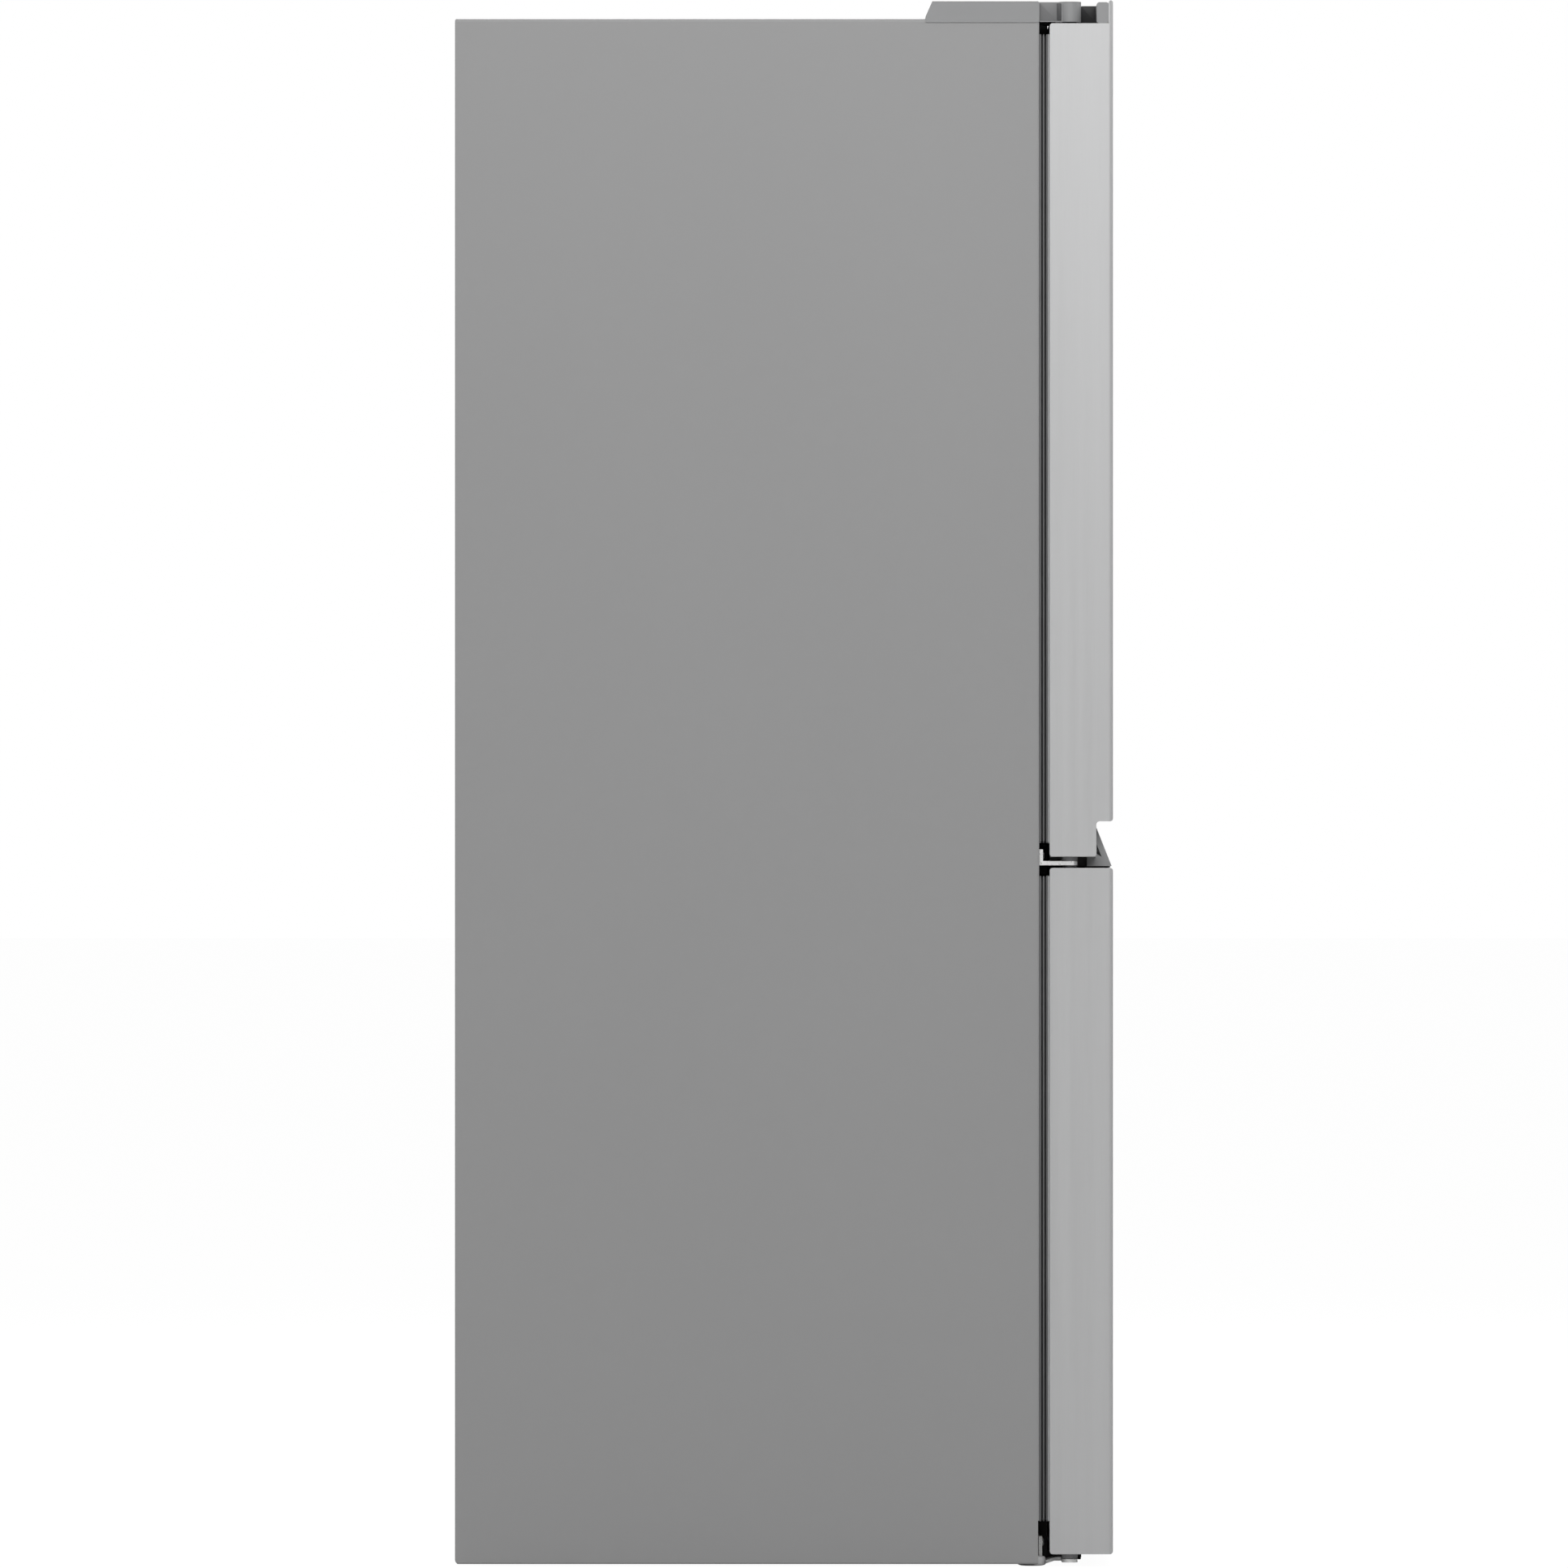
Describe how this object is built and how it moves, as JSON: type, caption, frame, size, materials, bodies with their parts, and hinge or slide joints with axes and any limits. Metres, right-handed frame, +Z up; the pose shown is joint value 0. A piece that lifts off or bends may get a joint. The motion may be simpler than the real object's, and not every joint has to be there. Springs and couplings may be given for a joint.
{
  "type": "four-door bottom-freezer refrigerator",
  "caption": "Tall free-standing refrigerator with two fresh-food doors over two freezer doors, notched finger grips between them, and hinge covers on top.",
  "frame": {"origin": "on the floor under the middle of the overall box", "axes": "+Z up, the doors face -Y, +X to the right as seen from behind the doors looking at +Y"},
  "size_m": [0.833, 0.748, 1.78],
  "materials": {
    "side_paint": "satin pre-coated steel, fine texture",
    "frame_paint": "satin pre-coated steel",
    "door_steel": "fine vertical brushing under a clear coat",
    "cap_plastic": "satin moulded plastic",
    "cover_plastic": "satin moulded plastic",
    "black_plastic": "matte moulded plastic",
    "hinge_metal": "bright zinc plate",
    "galvanised": "galvanised sheet with a faint spangle",
    "foam": "rigid polyurethane foam",
    "white_plastic": "glossy white thermoformed sheet",
    "gasket": "soft grey vinyl",
    "black_enamel": "black enamel",
    "dark_fins": "black coated fins",
    "bare_fins": "mill finish fins",
    "fan_plastic": "grey moulded plastic",
    "shelf_glass": "clear tempered glass with a green edge",
    "clear_plastic": "clear polystyrene",
    "frosted_plastic": "frosted clear polystyrene",
    "lamp_diffuser": "opal diffuser",
    "roller_plastic": "dark nylon",
    "foot_plastic": "light grey nylon"
  },
  "bodies": {
    "root": {"cabinet_wrapper": "side_paint", "back_panel": "galvanised", "cabinet_foam": "foam", "fridge_liner": "white_plastic", "freezer_liner": "white_plastic", "front_frame": "frame_paint", "centre_dividers": "white_plastic", "base_pan": "galvanised", "toe_grille": "black_plastic", "trim_strips": "black_plastic", "top_hinges": "hinge_metal", "middle_hinges": "hinge_metal", "bottom_hinges": "hinge_metal", "hinge_covers": "cover_plastic", "hinge_screws": "hinge_metal", "compressor": "black_enamel", "condenser": "dark_fins", "drip_pan": "black_plastic", "machine_cover": "galvanised", "evaporator": "bare_fins", "air_cover": "white_plastic", "glass_shelves": "shelf_glass", "crispers": "clear_plastic", "freezer_drawers_left": "frosted_plastic", "freezer_drawers_right": "frosted_plastic", "control_panel": "white_plastic", "lamp_lens": "lamp_diffuser", "power_inlet": "black_plastic"},
    "upper_left_door": {"upper_left_skin": "door_steel", "upper_left_foam": "foam", "upper_left_liner": "white_plastic", "upper_left_gasket": "gasket", "upper_left_caps": "cap_plastic", "upper_left_bins": "clear_plastic"},
    "upper_right_door": {"upper_right_skin": "door_steel", "upper_right_foam": "foam", "upper_right_liner": "white_plastic", "upper_right_gasket": "gasket", "upper_right_caps": "cap_plastic", "upper_right_bins": "clear_plastic"},
    "lower_left_door": {"lower_left_skin": "door_steel", "lower_left_foam": "foam", "lower_left_liner": "white_plastic", "lower_left_gasket": "gasket", "lower_left_caps": "cap_plastic"},
    "lower_right_door": {"lower_right_skin": "door_steel", "lower_right_foam": "foam", "lower_right_liner": "white_plastic", "lower_right_gasket": "gasket", "lower_right_caps": "cap_plastic"},
    "condenser_fan": {"condenser_fan": "fan_plastic"},
    "evaporator_fan": {"evaporator_fan": "fan_plastic"},
    "slider_left": {"slider_left": "white_plastic"},
    "slider_right": {"slider_right": "white_plastic"},
    "control_button": {"control_button": "fan_plastic"},
    "roller_left": {"roller_left": "roller_plastic"},
    "roller_right": {"roller_right": "roller_plastic"},
    "foot_left": {"foot_left": "foot_plastic"},
    "foot_right": {"foot_right": "foot_plastic"}
  },
  "joints": [
    {"name": "upper_left_door_hinge", "type": "hinge", "parent": "root", "child": "upper_left_door", "pos_m": [-0.3985, -0.325, 0.8], "axis": [0, 0, -1], "range_deg": [0, 120]},
    {"name": "upper_right_door_hinge", "type": "hinge", "parent": "root", "child": "upper_right_door", "pos_m": [0.3985, -0.325, 0.8], "axis": [0, 0, 1], "range_deg": [0, 120]},
    {"name": "lower_left_door_hinge", "type": "hinge", "parent": "root", "child": "lower_left_door", "pos_m": [-0.3985, -0.325, 0.4], "axis": [0, 0, -1], "range_deg": [0, 120]},
    {"name": "lower_right_door_hinge", "type": "hinge", "parent": "root", "child": "lower_right_door", "pos_m": [0.3985, -0.325, 0.4], "axis": [0, 0, 1], "range_deg": [0, 120]},
    {"name": "condenser_fan_spin", "type": "hinge", "parent": "root", "child": "condenser_fan", "pos_m": [0.02, 0.262, 0.12], "axis": [1, 0, 0], "continuous": true},
    {"name": "evaporator_fan_spin", "type": "hinge", "parent": "root", "child": "evaporator_fan", "pos_m": [0, 0.26, 0.64], "axis": [0, 1, 0], "continuous": true},
    {"name": "slider_left_travel", "type": "slide", "parent": "root", "child": "slider_left", "axis": [-1, 0, 0], "range_m": [0, 0.038]},
    {"name": "slider_right_travel", "type": "slide", "parent": "root", "child": "slider_right", "axis": [1, 0, 0], "range_m": [0, 0.038]},
    {"name": "control_button_press", "type": "slide", "parent": "root", "child": "control_button", "axis": [0, 0, 1], "range_m": [0, 0.0015], "stiffness_N_per_m": 400},
    {"name": "roller_left_spin", "type": "hinge", "parent": "root", "child": "roller_left", "pos_m": [-0.3553, 0.324, 0.02], "axis": [1, 0, 0], "continuous": true},
    {"name": "roller_right_spin", "type": "hinge", "parent": "root", "child": "roller_right", "pos_m": [0.3553, 0.324, 0.02], "axis": [1, 0, 0], "continuous": true},
    {"name": "foot_left_turn", "type": "hinge", "parent": "root", "child": "foot_left", "pos_m": [-0.3885, -0.282, 0.01], "axis": [0, 0, 1], "continuous": true},
    {"name": "foot_right_turn", "type": "hinge", "parent": "root", "child": "foot_right", "pos_m": [0.3885, -0.282, 0.01], "axis": [0, 0, 1], "continuous": true}
  ]
}
